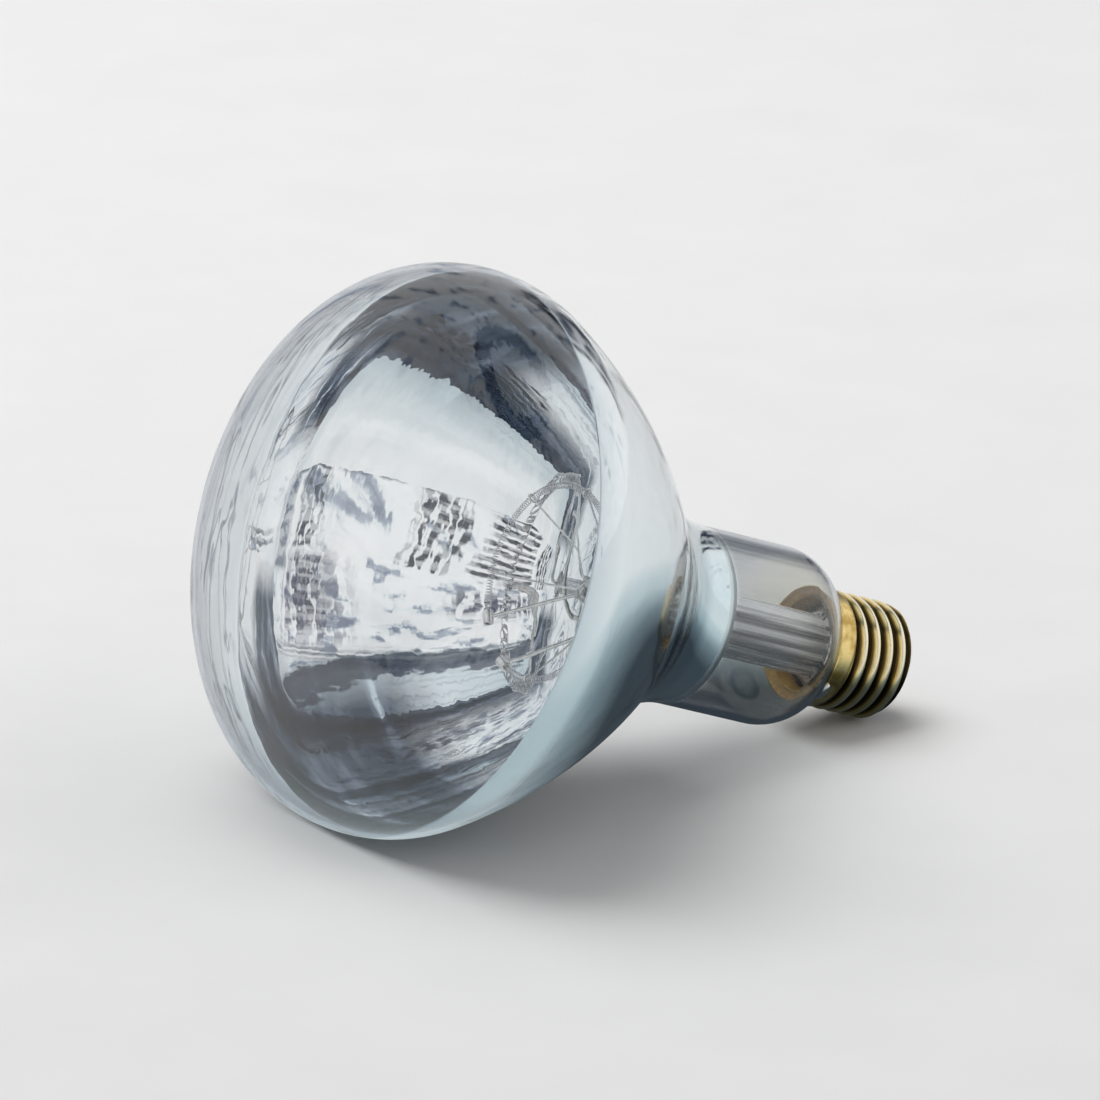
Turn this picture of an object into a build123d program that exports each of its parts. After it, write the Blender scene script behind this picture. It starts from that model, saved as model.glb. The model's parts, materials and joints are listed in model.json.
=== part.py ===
"""Clear infrared reflector lamp, 125 mm bulb on an E27 screw cap.

The lamp is drawn on its own axis: z = 0 at the crown of the clear face, z rising to the
contact of the cap. Each piece is then laid down as the lamp rests on a table, on the widest
ring of its bulb and the last crest of its thread. Sizes are in millimetres.
"""

import os
from math import asin, atan2, cos, degrees, hypot, pi, radians, sin, sqrt

from build123d import *

# Bulb outline: a chain of arcs that run into each other without a corner
BULB_R = 62.4           # widest ring of the bulb
FACE_R = 140.0          # sphere of the clear face
SIDE_R = 25.2           # rounded side between face and bowl
SIDE_TURN = 25.6        # degrees of the side that lie behind the widest ring
BOWL_R = 139.5          # slightly rounded mirror bowl
WAIST_R = 30.2          # hollow between bowl and neck
NECK_R = 20.0
NECK_LENGTH = 23.9      # straight part of the neck
SHOULDER_R = 12.25      # rounded end of the neck
MOUTH_R = 10.9          # short glass tube inside the cap
MOUTH_LENGTH = 7.7      # from the rim of the cap to the end of that tube
GLASS = 1.0             # wall of blown glass
SILVER = 0.12           # evaporated mirror on the inside of the glass
SILVER_SHORT = 0.4      # the mirror ends this far in front of the straight neck

# Cap E27, a rolled thread of constant wall
THREAD_PITCH = 3.629
THREAD_CREST = 26.4     # diameters over the crest and in the valley
THREAD_ROOT = 24.2
THREAD_TURNS = 4.58     # turns in sight behind the skirt
CAP_WALL = 0.35
SKIRT_R = 13.25
SKIRT_LENGTH = 5.0
RUN_IN = 2.3            # start of the thread, hidden in the skirt
NOSE_R = 2.8            # rounded end of the shell
NOSE_BORE_R = 9.0
INSULATOR_FLANGE_R = 9.8
INSULATOR_FLANGE = 2.0
INSULATOR_LENGTH = 4.2
INSULATOR_TIP_R = 6.0
CONTACT_R = 4.9
CONTACT_THICK = 0.9
WIRE_HOLE_R = 0.9
TIP_SOLDER_R = 2.4
TIP_SOLDER = 0.8
SIDE_SOLDER_R = 1.15    # oval blob of solder along the rim
SIDE_SOLDER_HALF = 2.4
SIDE_SOLDER_DROP = 0.9  # its middle behind the rim

# Stem, the glass foot that carries the filament
STEM_R = 7.0
STEM_WALL = 1.2
STEM_LENGTH = 47.5      # from the mouth of the bulb to the front of the press
PRESS_LENGTH = 12.0     # the tube's pinched end
PRESS_FLAT = 6.0        # its even part, in front of where it opens into the tube
PRESS_WIDTH = 17.0
PRESS_THICK = 4.2
PRESS_EDGE_R = 1.4
FLARE_LENGTH = 6.0
FLARE_SEAL = 1.5        # fused to the bulb's mouth over this length
EXHAUST_R = 2.4
EXHAUST_WALL = 0.7
EXHAUST_TAIL = 6.5      # closed end of the tube, behind the mouth
END_ROUNDING = 0.9      # rounded ends, as a part of the full round

# Filament, an open wreath in a plane across the axis
WREATH_R = 21.5
WREATH_LEAD = 11.0      # in front of the button
WREATH_GAP = 36.0       # degrees left open between its two ends
COIL_R = 0.75           # outside of the coiled coil
CLAMP_WALL = 0.5        # sleeve at the end of each lead
CLAMP_LENGTH = 3.0
SUPPORTS = 6
SUPPORT_WIRE_R = 0.22
SUPPORT_BEND_R = 3.0
ROD_R = 1.6             # glass rod in front of the press
ROD_LENGTH = 21.0
BUTTON_R = 2.6          # glass button that holds the supports
BUTTON_HALF = 2.0
BUTTON_GRIP = 1.0       # the supports end this far from the axis
LEAD_WIRE_R = 0.45
LEAD_SPREAD = 5.0       # from the axis to each lead in the press
LEAD_STRAIGHT = 9.0     # from the press to the bend
LEAD_BEND_R = 3.0
FUSE_WIRE_R = 0.3
FUSE_OVER_MOUTH = 1.0   # the skirt's lead passes the mouth at this distance
FUSE_POKE = 0.6         # its end stands out of the skirt
FUSE_BEND_R = 0.6
TIP_LEAD_BEND_R = 1.5
TIP_LEAD_STRAIGHT = 1.5 # straight before the hole in the insulator

# How the lamp lies
ROLL = -54.0            # turned about its own axis, side solder low at the front

FROM_BOTTOM = (Align.CENTER, Align.CENTER, Align.MIN)


# Heights on the axis

def outline_centres():
    """Centres (r, z) of the outline's arcs, solved from tangency."""
    face = (0.0, FACE_R)
    side_r = BULB_R - SIDE_R
    side = (side_r, FACE_R - sqrt((FACE_R - SIDE_R) ** 2 - side_r**2))
    turn = radians(SIDE_TURN)
    bowl = (side[0] - (BOWL_R - SIDE_R) * cos(turn), side[1] - (BOWL_R - SIDE_R) * sin(turn))
    waist_r = NECK_R + WAIST_R
    waist = (waist_r, bowl[1] + sqrt((BOWL_R + WAIST_R) ** 2 - (waist_r - bowl[0]) ** 2))
    return face, side, bowl, waist


face_centre, side_centre, bowl_centre, waist_centre = outline_centres()
widest_z = side_centre[1]
neck_z = waist_centre[1]
shoulder_z = neck_z + NECK_LENGTH
silver_end = neck_z - SILVER_SHORT

# The rim of the cap sits where its bore meets the rounded end of the neck
cap_bore = SKIRT_R - CAP_WALL
cap_z = shoulder_z + sqrt(SHOULDER_R**2 - (cap_bore - NECK_R + SHOULDER_R) ** 2)
solder_z = cap_z + SIDE_SOLDER_DROP
thread_z = cap_z + SKIRT_LENGTH - RUN_IN
cap_end = cap_z + SKIRT_LENGTH + THREAD_TURNS * THREAD_PITCH
insulator_z = cap_end - CAP_WALL - INSULATOR_FLANGE
contact_z = cap_end + INSULATOR_LENGTH
contact_top = contact_z + CONTACT_THICK

mouth_end = cap_z + MOUTH_LENGTH
exhaust_end = mouth_end + EXHAUST_TAIL
press_z = mouth_end - STEM_LENGTH
stem_tube_z = press_z + PRESS_LENGTH
lead_joint_z = press_z + PRESS_FLAT / 2
button_z = press_z - ROD_LENGTH
wreath_z = button_z - WREATH_LEAD


# Bulb and mirror

def toward(start, end, distance):
    """The point at this distance from start on the line to end."""
    span = hypot(end[0] - start[0], end[1] - start[1])
    return (
        start[0] + (end[0] - start[0]) * distance / span,
        start[1] + (end[1] - start[1]) * distance / span,
    )


def bulb_outline(inset):
    """Lines of the outline from the crown to the mouth, moved inwards by inset."""
    mouth_r = MOUTH_R - inset
    shoulder_r = SHOULDER_R - inset
    shoulder_end = shoulder_z + sqrt(shoulder_r**2 - (mouth_r - NECK_R + SHOULDER_R) ** 2)
    crown = (0, inset)
    face_end = toward(face_centre, side_centre, FACE_R - inset)
    side_end = toward(bowl_centre, side_centre, BOWL_R - inset)
    bowl_end = toward(bowl_centre, waist_centre, BOWL_R - inset)
    RadiusArc(crown, face_end, -(FACE_R - inset))
    RadiusArc(face_end, side_end, -(SIDE_R - inset))
    RadiusArc(side_end, bowl_end, -(BOWL_R - inset))
    RadiusArc(bowl_end, (NECK_R - inset, neck_z), WAIST_R + inset)
    Line((NECK_R - inset, neck_z), (NECK_R - inset, shoulder_z))
    RadiusArc((NECK_R - inset, shoulder_z), (mouth_r, shoulder_end), -shoulder_r)
    Line((mouth_r, shoulder_end), (mouth_r, mouth_end))


def bulb_body(inset):
    """Solid of revolution inside the outline."""
    with BuildPart() as body:
        with BuildSketch(Plane.XZ):
            with BuildLine():
                bulb_outline(inset)
                Polyline((MOUTH_R - inset, mouth_end), (0, mouth_end), (0, inset))
            make_face()
        revolve(axis=Axis.Z)
    return body.part


bulb_outside = bulb_body(0)
bulb_inside = bulb_body(GLASS)
mirror_inside = bulb_body(GLASS + SILVER)

with BuildPart() as glass_bulb:
    add(bulb_outside)
    add(bulb_inside, mode=Mode.SUBTRACT)

with BuildPart() as mirror_coating:
    add(bulb_inside)
    add(mirror_inside, mode=Mode.SUBTRACT)
    with Locations((0, 0, widest_z)):
        Cylinder(BULB_R, silver_end - widest_z, align=FROM_BOTTOM, mode=Mode.INTERSECT)


# Filament, supports and leads

def bent_wire(radius, bend, *points):
    """Round wire through these points, each corner rounded by bend."""
    with BuildPart() as wire:
        with BuildLine() as path:
            FilletPolyline(*points, radius=bend)
        with BuildSketch(Plane(origin=path.line @ 0, z_dir=path.line % 0)):
            Circle(radius)
        sweep(path=path.wire())
    return wire.part


def on_wreath(turn):
    """Plane across the filament at this angle, its z along the filament."""
    around = Location((0, 0, wreath_z), (0, 0, turn))
    return Plane(around * Location((WREATH_R, 0, 0), (-90, 0, 0)))


first_end = -90 + WREATH_GAP / 2
wreath_turn = 360 - WREATH_GAP
clamped_turn = degrees(CLAMP_LENGTH / 2 / WREATH_R)

with BuildPart() as filament:
    with BuildLine(Plane.XY.offset(wreath_z)) as ring:
        CenterArc((0, 0), WREATH_R, first_end - clamped_turn, wreath_turn + 2 * clamped_turn)
    with BuildSketch(Plane(origin=ring.line @ 0, z_dir=ring.line % 0)):
        Circle(COIL_R)
    sweep(path=ring.wire())


def filament_support(turn):
    """Wire from the glass button to an eye around the filament."""
    eye_r = COIL_R + SUPPORT_WIRE_R
    lean = atan2(WREATH_LEAD, WREATH_R / 2)
    arm = bent_wire(
        SUPPORT_WIRE_R,
        SUPPORT_BEND_R,
        (BUTTON_GRIP, 0, button_z),
        (WREATH_R / 2, 0, button_z),
        (WREATH_R - eye_r * cos(lean), 0, wreath_z + eye_r * sin(lean)),
    )
    with BuildPart() as support:
        with Locations(Location((0, 0, 0), (0, 0, turn))):
            add(arm)
        with Locations(on_wreath(turn).location):
            Torus(eye_r, SUPPORT_WIRE_R)
    return support.part


def inner_lead(side):
    """Lead on one side of the bulb, with the sleeve it clamps on the filament's end."""
    end = on_wreath(-90 + side * WREATH_GAP / 2)
    wire = bent_wire(
        LEAD_WIRE_R,
        LEAD_BEND_R,
        (side * LEAD_SPREAD, 0, lead_joint_z),
        (side * LEAD_SPREAD, 0, press_z - LEAD_STRAIGHT),
        end.origin,
    )
    with BuildPart() as lead:
        add(wire)
        with Locations(end.location):
            Cylinder(COIL_R + CLAMP_WALL, CLAMP_LENGTH)
        add(filament.part, mode=Mode.SUBTRACT)
    return lead.part


supports = [
    filament_support(first_end + wreath_turn * (number + 0.5) / SUPPORTS)
    for number in range(SUPPORTS)
]
lead_1 = inner_lead(-1)
lead_2 = inner_lead(1)

# Behind the press one lead runs to the tip, the other over the mouth of the bulb to the skirt
lead_to_tip = bent_wire(
    FUSE_WIRE_R,
    TIP_LEAD_BEND_R,
    (LEAD_SPREAD, 0, lead_joint_z),
    (LEAD_SPREAD, 0, exhaust_end),
    (0, 0, insulator_z - TIP_LEAD_STRAIGHT),
    (0, 0, contact_top),
)

# Between the mouth and the valleys of the thread
lead_lane = (MOUTH_R + THREAD_ROOT / 2 - CAP_WALL) / 2
lead_to_skirt = bent_wire(
    FUSE_WIRE_R,
    FUSE_BEND_R,
    (-LEAD_SPREAD, 0, lead_joint_z),
    (-LEAD_SPREAD, 0, mouth_end + FUSE_OVER_MOUTH),
    (-lead_lane, 0, mouth_end + FUSE_OVER_MOUTH),
    (-lead_lane, 0, solder_z),
    (-SKIRT_R - FUSE_POKE, 0, solder_z),
)


# Glass foot of the lamp

with BuildPart() as support_rod:
    with Locations((0, 0, button_z)):
        Cylinder(ROD_R, ROD_LENGTH, align=FROM_BOTTOM)
    with BuildSketch(Plane.XZ):
        with Locations((0, button_z)):
            Ellipse(BUTTON_R, BUTTON_HALF)
        split(bisect_by=Plane.YZ)
    revolve(axis=Axis.Z)
    for support in supports:
        add(support, mode=Mode.SUBTRACT)

with BuildPart() as stem:
    with BuildSketch(Plane.XY.offset(press_z)):
        RectangleRounded(PRESS_WIDTH, PRESS_THICK, PRESS_EDGE_R)
    extrude(amount=PRESS_FLAT)
    with BuildSketch(Plane.XY.offset(press_z + PRESS_FLAT)):
        RectangleRounded(PRESS_WIDTH, PRESS_THICK, PRESS_EDGE_R)
    with BuildSketch(Plane.XY.offset(stem_tube_z)):
        Circle(STEM_R)
    loft()
    with BuildSketch(Plane.XZ):
        with BuildLine():
            Polyline(
                (STEM_R - STEM_WALL, stem_tube_z),
                (STEM_R, stem_tube_z),
                (STEM_R, mouth_end - FLARE_LENGTH),
                (MOUTH_R - GLASS, mouth_end - FLARE_SEAL),
                (MOUTH_R - GLASS, mouth_end),
                (MOUTH_R - GLASS - STEM_WALL, mouth_end),
                (STEM_R - STEM_WALL, mouth_end - FLARE_LENGTH),
                close=True,
            )
        make_face()
    revolve(axis=Axis.Z)
    for wire in (lead_1, lead_2, lead_to_tip, lead_to_skirt):
        add(wire, mode=Mode.SUBTRACT)

with BuildPart() as exhaust_tube:
    with Locations((0, 0, stem_tube_z)):
        Cylinder(EXHAUST_R, exhaust_end - stem_tube_z, align=FROM_BOTTOM)
    fillet(exhaust_tube.edges().sort_by(Axis.Z)[-1], radius=END_ROUNDING * EXHAUST_R)
    with Locations((0, 0, stem_tube_z)):
        Cylinder(
            EXHAUST_R - EXHAUST_WALL,
            exhaust_end - EXHAUST_R - stem_tube_z,
            align=FROM_BOTTOM,
            mode=Mode.SUBTRACT,
        )


# Screw cap

def cap_body(inset):
    """Skirt, thread and rounded end as one solid, inset by the wall for the hollow.

    A disc pushed along a thin helix without turning leaves a rolled thread: its middle
    walks around the cap's axis once a pitch, so crest and valley are rounded alike.
    """
    swing = (THREAD_CREST - THREAD_ROOT) / 4
    disc_r = (THREAD_CREST + THREAD_ROOT) / 4
    length = cap_end - inset - thread_z
    with BuildPart() as nose:
        with Locations((0, 0, thread_z)):
            Cylinder(THREAD_CREST / 2 + CAP_WALL - inset, length, align=FROM_BOTTOM)
        fillet(nose.edges().sort_by(Axis.Z)[-1], radius=NOSE_R - inset)
    with BuildPart() as body:
        with BuildLine() as path:
            Helix(THREAD_PITCH, length, swing, center=(0, 0, thread_z))
        with BuildSketch(Plane.XY.offset(thread_z)):
            with Locations((swing, 0)):
                Circle(disc_r - inset)
        sweep(path=path.wire(), normal=(0, 0, 1))
        add(nose.part, mode=Mode.INTERSECT)
        with Locations((0, 0, cap_z)):
            Cylinder(SKIRT_R - inset, SKIRT_LENGTH - inset, align=FROM_BOTTOM)
    return body.part


cap_outside = cap_body(0)
cap_inside = cap_body(CAP_WALL)

with BuildPart() as cap_shell:
    add(cap_outside)
    add(cap_inside, mode=Mode.SUBTRACT)
    with Locations((0, 0, cap_end)):
        Cylinder(NOSE_BORE_R, 2 * NOSE_R, mode=Mode.SUBTRACT)
    add(lead_to_skirt, mode=Mode.SUBTRACT)

with BuildPart() as cap_insulator:
    with BuildSketch(Plane.XZ):
        with BuildLine():
            Polyline(
                (WIRE_HOLE_R, insulator_z),
                (INSULATOR_FLANGE_R, insulator_z),
                (INSULATOR_FLANGE_R, cap_end - CAP_WALL),
                (NOSE_BORE_R, cap_end - CAP_WALL),
                (NOSE_BORE_R, cap_end),
                (INSULATOR_TIP_R, contact_z),
                (WIRE_HOLE_R, contact_z),
                close=True,
            )
        make_face()
    revolve(axis=Axis.Z)

with BuildPart() as centre_contact:
    with Locations((0, 0, contact_z)):
        Cylinder(CONTACT_R, CONTACT_THICK, align=FROM_BOTTOM)
        fillet(centre_contact.edges().sort_by(Axis.Z)[-1], radius=CONTACT_THICK / 2)
        Cylinder(WIRE_HOLE_R, CONTACT_THICK, align=FROM_BOTTOM, mode=Mode.SUBTRACT)

with BuildPart() as tip_solder:
    with Locations((0, 0, contact_top)):
        Cylinder(TIP_SOLDER_R, TIP_SOLDER, align=FROM_BOTTOM)
        fillet(tip_solder.edges().sort_by(Axis.Z)[-1], radius=END_ROUNDING * TIP_SOLDER)
    with Locations((0, 0, contact_z)):
        Cylinder(WIRE_HOLE_R, CONTACT_THICK, align=FROM_BOTTOM)
    add(lead_to_tip, mode=Mode.SUBTRACT)

with BuildPart() as basing_cement:
    with Locations((0, 0, cap_z)):
        Cylinder(cap_bore, SKIRT_LENGTH - CAP_WALL, align=FROM_BOTTOM)
    add(bulb_outside, mode=Mode.SUBTRACT)
    add(lead_to_skirt, mode=Mode.SUBTRACT)

with BuildPart() as solder_oval:
    with BuildSketch(Plane.YZ.offset(-SKIRT_R)):
        with Locations((0, solder_z)):
            Ellipse(SIDE_SOLDER_HALF, SIDE_SOLDER_R)
        split(bisect_by=Plane(origin=(0, solder_z, 0), z_dir=(0, 1, 0)), keep=Keep.BOTTOM)
    revolve(axis=Axis((-SKIRT_R, 0, solder_z), (0, 1, 0)))

with BuildPart() as side_solder:
    add(solder_oval.part)
    add(bulb_outside, mode=Mode.SUBTRACT)
    add(cap_outside, mode=Mode.SUBTRACT)
    add(lead_to_skirt, mode=Mode.SUBTRACT)


# Laying the lamp down

def lying_tilt():
    """Angle between the lamp's axis and the table, on the bulb's side and the last crest.

    Crests up to the middle of the rounded nose are whole.
    """
    down = (180 - ROLL) / 360
    turns = int((cap_end - NOSE_R / 2 - thread_z) / THREAD_PITCH - down)
    crest_z = thread_z + THREAD_PITCH * (turns + down)
    crest_round = THREAD_PITCH**2 / (pi**2 * (THREAD_CREST - THREAD_ROOT))
    along = crest_z - widest_z
    across = side_centre[0] - THREAD_CREST / 2 + crest_round
    return atan2(across, along) + asin((SIDE_R - crest_round) / hypot(along, across))


pieces = {
    "glass_bulb": glass_bulb.part,
    "mirror_coating": mirror_coating.part,
    "stem": stem.part,
    "exhaust_tube": exhaust_tube.part,
    "support_rod": support_rod.part,
    "filament": filament.part,
    "lead_1": lead_1,
    "lead_2": lead_2,
    "lead_to_tip": lead_to_tip,
    "lead_to_skirt": lead_to_skirt,
    "cap_shell": cap_shell.part,
    "cap_insulator": cap_insulator.part,
    "centre_contact": centre_contact.part,
    "tip_solder": tip_solder.part,
    "side_solder": side_solder.part,
    "basing_cement": basing_cement.part,
}
for number, support in enumerate(supports, start=1):
    pieces[f"filament_support_{number}"] = support

tilt = lying_tilt()
lamp_plane = Plane(
    origin=(0, 0, 0),
    x_dir=(sin(tilt), 0, cos(tilt)),
    z_dir=(cos(tilt), 0, -sin(tilt)),
)
turned = lamp_plane.location * Location((0, 0, 0), (0, 0, ROLL))
ends = [turned * pieces[name] for name in ("glass_bulb", "cap_shell", "tip_solder")]
box = Compound(children=ends).bounding_box()
laid = Location((-box.center().X, -box.center().Y, -box.min.Z)) * turned

os.makedirs("parts", exist_ok=True)
for name, piece in pieces.items():
    placed = laid * piece
    placed.label = name
    export_step(placed, f"parts/{name}.step")
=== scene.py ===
"""Infrared heat lamp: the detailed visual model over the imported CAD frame."""

import json
import math

import bpy
from mathutils import Matrix, Vector

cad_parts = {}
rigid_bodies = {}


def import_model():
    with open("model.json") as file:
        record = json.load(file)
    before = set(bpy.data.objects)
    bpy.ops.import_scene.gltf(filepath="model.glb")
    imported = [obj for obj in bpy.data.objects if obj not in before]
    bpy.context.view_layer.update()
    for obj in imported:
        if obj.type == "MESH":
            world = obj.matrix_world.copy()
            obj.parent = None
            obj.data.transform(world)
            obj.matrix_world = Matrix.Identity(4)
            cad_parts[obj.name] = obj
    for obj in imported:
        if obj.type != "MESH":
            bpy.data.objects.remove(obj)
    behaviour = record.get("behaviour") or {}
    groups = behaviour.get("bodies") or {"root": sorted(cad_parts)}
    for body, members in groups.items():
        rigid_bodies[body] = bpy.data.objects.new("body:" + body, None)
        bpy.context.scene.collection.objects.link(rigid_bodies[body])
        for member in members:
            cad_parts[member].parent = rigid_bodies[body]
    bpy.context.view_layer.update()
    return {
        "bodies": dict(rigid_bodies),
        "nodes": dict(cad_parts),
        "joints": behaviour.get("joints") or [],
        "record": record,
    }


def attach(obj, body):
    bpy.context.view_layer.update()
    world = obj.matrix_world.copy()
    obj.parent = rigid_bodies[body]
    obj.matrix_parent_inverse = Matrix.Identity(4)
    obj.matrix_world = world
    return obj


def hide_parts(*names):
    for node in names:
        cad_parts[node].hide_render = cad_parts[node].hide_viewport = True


bl_info = {
    "name": "Infrared heat lamp",
    "version": (1, 0, 0),
    "blender": (4, 5, 0),
    "location": "View3D > Sidebar > Lamp",
    "description": "Builds a clear-faced reflector heat lamp on a screw cap and its photo stage",
    "category": "Add Mesh",
}

MM = 0.001
ROUND_STEPS = 192
THREAD_ROWS = 18  # rows of the mesh in one turn of the thread
SKIRT_ROWS = 8
COIL_POINTS = 12  # points in one turn of the filament's coil
FILM_LIFT = 0.03 * MM  # between the glass and the mirror film, so that their faces differ
TABLE_SIZE = 12.0
SENSOR_WIDTH = 36.0
SOFTBOX_SIZE = 1.6


class LampBulbSizes(bpy.types.PropertyGroup):
    """Driving sizes of the blown glass bulb, the same as in the CAD source."""

    widest: bpy.props.FloatProperty(
        name="Widest radius", description="Radius of the widest ring", default=62.4 * MM, unit="LENGTH"
    )
    face: bpy.props.FloatProperty(
        name="Face radius", description="Sphere of the clear face", default=140.0 * MM, unit="LENGTH"
    )
    side: bpy.props.FloatProperty(
        name="Side radius", description="Rounding between face and bowl", default=25.2 * MM, unit="LENGTH"
    )
    side_turn: bpy.props.FloatProperty(
        name="Side turn",
        description="How far the side turns behind the widest ring",
        default=math.radians(25.6),
        subtype="ANGLE",
    )
    bowl: bpy.props.FloatProperty(
        name="Bowl radius", description="Curvature of the mirror bowl", default=139.5 * MM, unit="LENGTH"
    )
    waist: bpy.props.FloatProperty(
        name="Waist radius", description="Hollow between bowl and neck", default=30.2 * MM, unit="LENGTH"
    )
    neck: bpy.props.FloatProperty(
        name="Neck radius", description="Outside of the neck", default=20.0 * MM, unit="LENGTH"
    )
    shoulder: bpy.props.FloatProperty(
        name="Shoulder radius", description="Rounded end of the neck", default=12.25 * MM, unit="LENGTH"
    )
    neck_length: bpy.props.FloatProperty(
        name="Neck length", description="Straight part of the neck", default=23.9 * MM, unit="LENGTH"
    )
    mouth: bpy.props.FloatProperty(
        name="Mouth radius", description="Glass tube inside the cap", default=10.9 * MM, unit="LENGTH"
    )
    mouth_length: bpy.props.FloatProperty(
        name="Mouth length", description="From the rim of the cap to its end", default=7.7 * MM, unit="LENGTH"
    )
    glass: bpy.props.FloatProperty(
        name="Glass", description="Wall of blown glass", default=1.0 * MM, unit="LENGTH"
    )
    silver: bpy.props.FloatProperty(
        name="Silver", description="Thickness of the mirror film", default=0.12 * MM, unit="LENGTH"
    )
    silver_short: bpy.props.FloatProperty(
        name="Silver short", description="Mirror's edge in front of the neck", default=0.4 * MM, unit="LENGTH"
    )


class LampCapSizes(bpy.types.PropertyGroup):
    """Driving sizes of the screw cap, the same as in the CAD source."""

    pitch: bpy.props.FloatProperty(
        name="Pitch", description="Rise of the thread in one turn", default=3.629 * MM, unit="LENGTH"
    )
    crest: bpy.props.FloatProperty(
        name="Crest radius", description="Over the rounded crests", default=13.2 * MM, unit="LENGTH"
    )
    root: bpy.props.FloatProperty(
        name="Root radius", description="In the valleys", default=12.1 * MM, unit="LENGTH"
    )
    turns: bpy.props.FloatProperty(
        name="Turns", description="Turns of thread in sight behind the skirt", default=4.58
    )
    wall: bpy.props.FloatProperty(
        name="Wall", description="Brass sheet", default=0.35 * MM, unit="LENGTH"
    )
    skirt: bpy.props.FloatProperty(
        name="Skirt radius", description="Plain band at the rim", default=13.25 * MM, unit="LENGTH"
    )
    skirt_length: bpy.props.FloatProperty(
        name="Skirt length", description="Plain band at the rim", default=5.0 * MM, unit="LENGTH"
    )
    run_in: bpy.props.FloatProperty(
        name="Run-in", description="Start of the thread, hidden in the skirt", default=2.3 * MM, unit="LENGTH"
    )
    nose: bpy.props.FloatProperty(
        name="Nose radius", description="Rounded end of the shell", default=2.8 * MM, unit="LENGTH"
    )
    nose_bore: bpy.props.FloatProperty(
        name="Nose bore", description="Opening in the end of the shell", default=9.0 * MM, unit="LENGTH"
    )


class LampWireSizes(bpy.types.PropertyGroup):
    """Sizes of the filament, the same as in the CAD source."""

    wreath: bpy.props.FloatProperty(
        name="Wreath radius", description="Ring the filament is bent to", default=21.5 * MM, unit="LENGTH"
    )
    wreath_z: bpy.props.FloatProperty(
        name="Wreath plane", description="In front of the mouth of the bulb", default=79.5 * MM, unit="LENGTH"
    )
    gap: bpy.props.FloatProperty(
        name="Gap", description="Opening between its two ends", default=math.radians(36), subtype="ANGLE"
    )
    coil: bpy.props.FloatProperty(
        name="Coil radius", description="Outside of the coil", default=0.75 * MM, unit="LENGTH"
    )
    wire: bpy.props.FloatProperty(
        name="Wire radius", description="Tungsten wire", default=0.1 * MM, unit="LENGTH"
    )
    turns: bpy.props.IntProperty(
        name="Turns", description="Turns of the coil around the wreath", default=190
    )


class LampStageSizes(bpy.types.PropertyGroup):
    """How the photograph was taken."""

    elevation: bpy.props.FloatProperty(
        name="Elevation", description="Camera above the table", default=math.radians(18.2), subtype="ANGLE"
    )
    heading: bpy.props.FloatProperty(
        name="Heading",
        description="Way the camera looks, turned from +X toward +Y",
        default=math.radians(55.9),
        subtype="ANGLE",
    )
    distance: bpy.props.FloatProperty(
        name="Distance", description="From camera to lamp", default=2.4, unit="LENGTH"
    )
    lens: bpy.props.FloatProperty(name="Lens", description="Focal length in millimetres", default=363.7)
    table_front: bpy.props.FloatProperty(
        name="Table front", description="From the lamp to the table's front edge", default=0.34, unit="LENGTH"
    )
    aim: bpy.props.FloatProperty(
        name="Aim", description="Point on the lamp's axis, from the crown", default=72.2 * MM, unit="LENGTH"
    )
    aim_right: bpy.props.FloatProperty(
        name="Aim right", description="That point's place, part of the picture width", default=0.0107
    )
    aim_down: bpy.props.FloatProperty(
        name="Aim down", description="That point's place, part of the picture width", default=0.0323
    )


# What stands around the table: azimuth, elevation, width, height, lean, softness of the edge, period
# of the stripes across and along (0: none), all in degrees, and the tone
STUDIO = (
    (-126, 67, 60, 5, 0, 2.0, 0, 2.5, (0.12, 0.14, 0.17)),
    (-96, 40, 13, 36, -18, 3.0, 3.0, 0, (0.13, 0.14, 0.2)),
    (-98, 38, 6, 30, -18, 1.5, 1.6, 0, (0.04, 0.045, 0.07)),
    (-107, 5, 6, 34, -16, 0.7, 2.0, 0, (0.02, 0.03, 0.05)),
    (-95, 6, 8, 44, -16, 1.5, 0, 0, (0.16, 0.19, 0.24)),
    (-130, 8, 9, 39, -18, 0.5, 2.2, 0, (0.02, 0.024, 0.04)),
    (-144, 8, 10, 39, -18, 0.7, 0, 4.5, (0.02, 0.024, 0.04)),
    (-150, 34, 20, 26, 0, 3.0, 4.0, 3.0, (0.2, 0.22, 0.27)),
    (-139, 40, 16, 12, 0, 2.0, 3.0, 0, (0.08, 0.09, 0.13)),
    (-120, -9, 60, 1.6, 0, 0.8, 7.0, 0, (0.12, 0.14, 0.18)),
    (160, 30, 44, 46, 0, 6.0, 0, 0, (0.78, 0.82, 0.84)),
    (158, 0, 26, 16, 0, 2.0, 0, 5.0, (0.13, 0.16, 0.19)),
    (-12, 20, 62, 70, 0, 5.0, 0, 0, (0.92, 0.93, 0.94)),
    (36, 6, 18, 40, 0, 2.0, 0, 0, (0.04, 0.05, 0.075)),
    (23, 16, 3, 40, 0, 0.7, 0, 0, (0.01, 0.014, 0.04)),
)

# Heights where the finish changes, in millimetres from the crown of the face

CLEAR_SIDE = (9, 31.4)
SILVER_START = 31
RIM_FADE = (60, 70)
WAIST = (87, 93)
NECK_START = 106
GLASS_LENGTH = 150

# Tones, and ramps of them: place from 0 to 1 in the stretch that the material names, and its tone

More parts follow.
